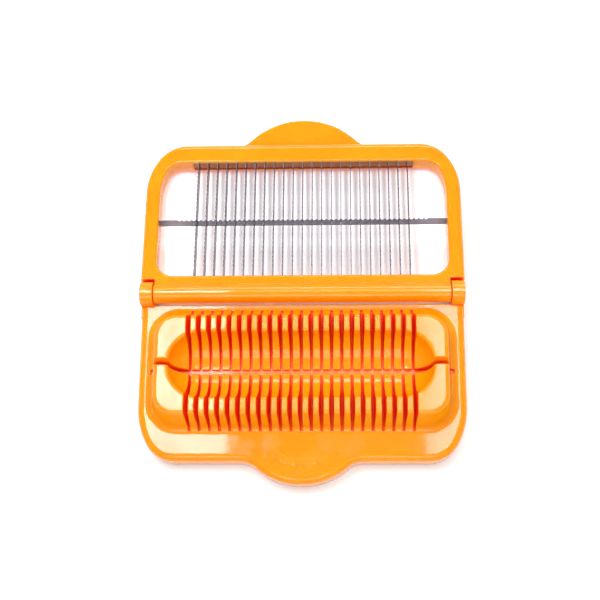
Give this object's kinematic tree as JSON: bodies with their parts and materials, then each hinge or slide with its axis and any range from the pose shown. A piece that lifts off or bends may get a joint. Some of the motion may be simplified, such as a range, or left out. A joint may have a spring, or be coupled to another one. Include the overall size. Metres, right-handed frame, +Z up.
{
  "type": "sausage slicer",
  "caption": "Kitchen slicer of the egg-slicer type: a slotted trough tray with a hinged frame of serrated steel blades that cuts a sausage into discs.",
  "frame": {"origin": "on the table, under the middle of the laid-open slicer", "axes": "+X along the trough and the hinge axis, +Y from the tray's finger tab to the laid-open lid, +Z up"},
  "size_m": [0.1644, 0.1959, 0.0305],
  "materials": {
    "orange_plastic": "glossy moulded plastic, slightly translucent",
    "blade_steel": "cold-rolled stainless steel",
    "comb_steel": "stamped steel with a bronze tone",
    "pin_steel": "turned steel"
  },
  "bodies": {
    "base": {"base_tray": "orange_plastic", "hinge_pin_left": "pin_steel", "hinge_pin_right": "pin_steel"},
    "lid": {"lid_frame": "orange_plastic", "lid_cover": "orange_plastic", "comb_strip_front": "comb_steel", "comb_strip_rear": "comb_steel", "long_blade": "blade_steel", "cross_blade_01": "blade_steel", "cross_blade_02": "blade_steel", "cross_blade_03": "blade_steel", "cross_blade_04": "blade_steel", "cross_blade_05": "blade_steel", "cross_blade_06": "blade_steel", "cross_blade_07": "blade_steel", "cross_blade_08": "blade_steel", "cross_blade_09": "blade_steel", "cross_blade_10": "blade_steel", "cross_blade_11": "blade_steel", "cross_blade_12": "blade_steel", "cross_blade_13": "blade_steel", "cross_blade_14": "blade_steel", "cross_blade_15": "blade_steel", "cross_blade_16": "blade_steel", "cross_blade_17": "blade_steel", "cross_blade_18": "blade_steel", "cross_blade_19": "blade_steel", "cross_blade_20": "blade_steel", "cross_blade_21": "blade_steel", "cross_blade_22": "blade_steel", "cross_blade_23": "blade_steel"}
  },
  "joints": [
    {"name": "lid_hinge", "type": "hinge", "parent": "base", "child": "lid", "pos_m": [0, -0.0027, 0.0167], "axis": [1, 0, 0], "range_deg": [0, 184.76]}
  ]
}
